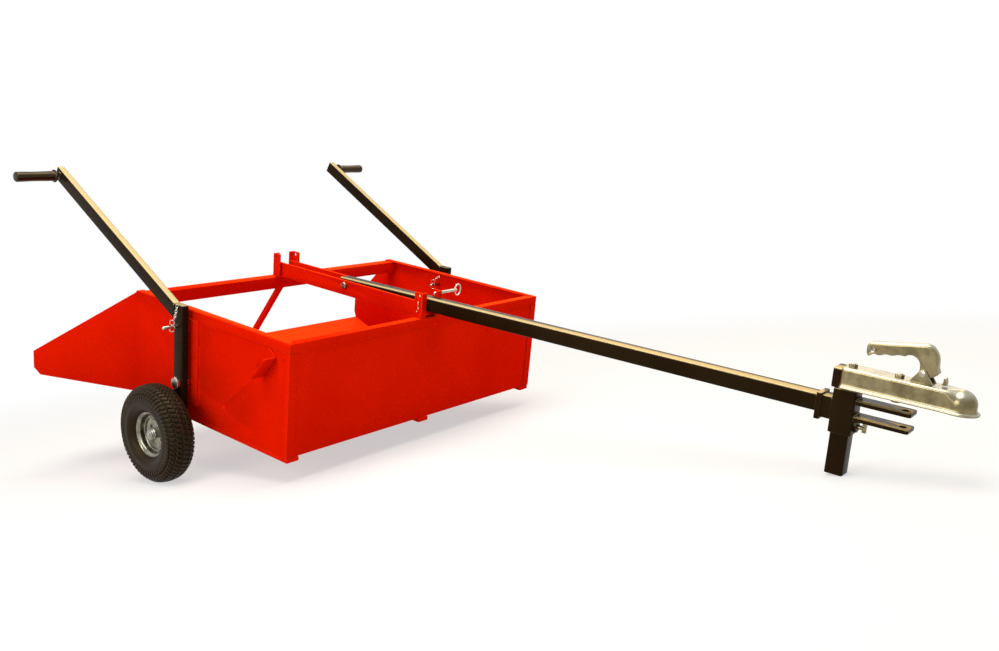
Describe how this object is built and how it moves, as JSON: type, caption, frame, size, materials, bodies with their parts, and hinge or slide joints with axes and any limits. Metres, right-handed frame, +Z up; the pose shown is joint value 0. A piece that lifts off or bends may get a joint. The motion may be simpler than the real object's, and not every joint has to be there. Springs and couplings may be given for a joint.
{
  "type": "tow-behind paddock sweeper",
  "caption": "Red steel scoop on wheels with winged mouth, two lifting levers, a fold-over drawbar and a ball coupling, for clearing paddocks behind a small tractor.",
  "frame": {"origin": "middle of the bounding box, on the ground", "axes": "+Y from the hitch back to the mouth of the scoop, +X to the right seen from the hitch side in the picture, +Z up"},
  "size_m": [1.376, 2.498, 0.9143],
  "materials": {
    "red_paint": "gloss",
    "black_paint": "gloss",
    "zinc_plate": "zinc plated",
    "bright_steel": "bright",
    "grip_rubber": "matt",
    "tyre_rubber": "matt"
  },
  "bodies": {
    "scoop": {"centre_strut": "red_paint", "chain_right": "bright_steel", "channel_side_left": "red_paint", "channel_side_right": "red_paint", "corner_post_left": "red_paint", "corner_post_right": "red_paint", "drawbar_bolt": "zinc_plate", "floor_plate": "red_paint", "front_rail": "red_paint", "front_wall": "red_paint", "lever_plate_left": "red_paint", "lever_plate_right": "red_paint", "pivot_bolt_left": "zinc_plate", "pivot_bolt_right": "zinc_plate", "r_clip_drawbar": "bright_steel", "rear_crossmember": "red_paint", "rest_saddle_left": "red_paint", "rest_saddle_right": "red_paint", "runner_left": "red_paint", "runner_middle": "red_paint", "runner_right": "red_paint", "side_rail_left": "red_paint", "side_rail_right": "red_paint", "side_sheet_left": "red_paint", "side_sheet_right": "red_paint"},
    "drawbar": {"drawbar": "black_paint", "drawbar_collar": "black_paint", "hitch_sleeve": "black_paint", "clevis_bar_upper": "black_paint", "clevis_bar_lower": "black_paint"},
    "clamp_screw": {"clamp_screw": "zinc_plate"},
    "hitch": {"hitch_post": "black_paint", "coupling_body": "zinc_plate", "coupling_bolt_rear": "zinc_plate", "coupling_bolt_front": "zinc_plate", "handle_pin": "zinc_plate"},
    "coupling_handle": {"coupling_handle": "zinc_plate"},
    "handle_catch": {"handle_catch": "zinc_plate"},
    "ball_clamp": {"ball_clamp": "zinc_plate"},
    "lock_pin_left": {"lock_pin_left": "bright_steel", "r_clip_left": "bright_steel"},
    "lock_pin_right": {"lock_pin_right": "bright_steel", "r_clip_right": "bright_steel"},
    "drawbar_pin": {"drawbar_pin": "bright_steel", "drawbar_pin_ring": "bright_steel"},
    "lever_left": {"lever_left": "black_paint", "lever_grip_left": "grip_rubber", "axle_left": "zinc_plate", "chain_left": "bright_steel"},
    "wheel_left": {"tyre_left": "tyre_rubber", "rim_outer_left": "zinc_plate", "rim_inner_left": "zinc_plate", "wheel_hub_left": "zinc_plate"},
    "lever_right": {"lever_right": "black_paint", "lever_grip_right": "grip_rubber", "axle_right": "zinc_plate"},
    "wheel_right": {"tyre_right": "tyre_rubber", "rim_outer_right": "zinc_plate", "rim_inner_right": "zinc_plate", "wheel_hub_right": "zinc_plate"}
  },
  "joints": [
    {"name": "drawbar_fold", "type": "hinge", "parent": "scoop", "child": "drawbar", "pos_m": [0, 0.52561, 0.4747], "axis": [-1, 0, 0], "range_deg": [0, 180]},
    {"name": "clamp_screw_turn", "type": "hinge", "parent": "drawbar", "child": "clamp_screw", "pos_m": [0, -0.9732, 0.11468], "axis": [0, -0.9777, -0.2102], "range_deg": [0, 360]},
    {"name": "hitch_height", "type": "slide", "parent": "drawbar", "child": "hitch", "axis": [0, -0.2102, 0.9777], "range_m": [0, 0.08]},
    {"name": "coupling_handle_lift", "type": "hinge", "parent": "hitch", "child": "coupling_handle", "pos_m": [0, -1.14768, 0.22927], "axis": [1, 0, 0], "range_deg": [0, 45]},
    {"name": "catch_release", "type": "hinge", "parent": "hitch", "child": "handle_catch", "pos_m": [0, -1.18601, 0.20774], "axis": [1, 0, 0], "range_deg": [0, 25], "stiffness_Nm_per_rad": 0.2, "springref_deg": -11.46},
    {"name": "ball_clamp_swing", "type": "hinge", "parent": "hitch", "child": "ball_clamp", "pos_m": [0, -1.15554, 0.18973], "axis": [1, 0, 0], "range_deg": [0, 13.5]},
    {"name": "lever_left_fold", "type": "hinge", "parent": "scoop", "child": "lever_left", "pos_m": [-0.5435, 0.67031, 0.2668], "axis": [1, 0, 0], "range_deg": [0, 102]},
    {"name": "wheel_left_spin", "type": "hinge", "parent": "lever_left", "child": "wheel_left", "pos_m": [-0.617, 0.70145, 0.1375], "axis": [1, 0, 0], "continuous": true},
    {"name": "lever_right_fold", "type": "hinge", "parent": "scoop", "child": "lever_right", "pos_m": [0.5435, 0.67031, 0.2668], "axis": [1, 0, 0], "range_deg": [0, 102]},
    {"name": "wheel_right_spin", "type": "hinge", "parent": "lever_right", "child": "wheel_right", "pos_m": [0.617, 0.70145, 0.1375], "axis": [1, 0, 0], "continuous": true},
    {"name": "lock_pin_left_slide", "type": "slide", "parent": "lever_left", "child": "lock_pin_left", "axis": [1, 0, 0], "range_m": [0, 0.0133]},
    {"name": "lock_pin_right_slide", "type": "slide", "parent": "scoop", "child": "lock_pin_right", "axis": [1, 0, 0], "range_m": [0, 0.028]},
    {"name": "drawbar_pin_slide", "type": "slide", "parent": "scoop", "child": "drawbar_pin", "axis": [-1, 0, 0], "range_m": [0, 0.0673]}
  ],
  "couplings": [
    {"joint": "ball_clamp_swing", "follows": "coupling_handle_lift", "ratio": 0.3}
  ]
}
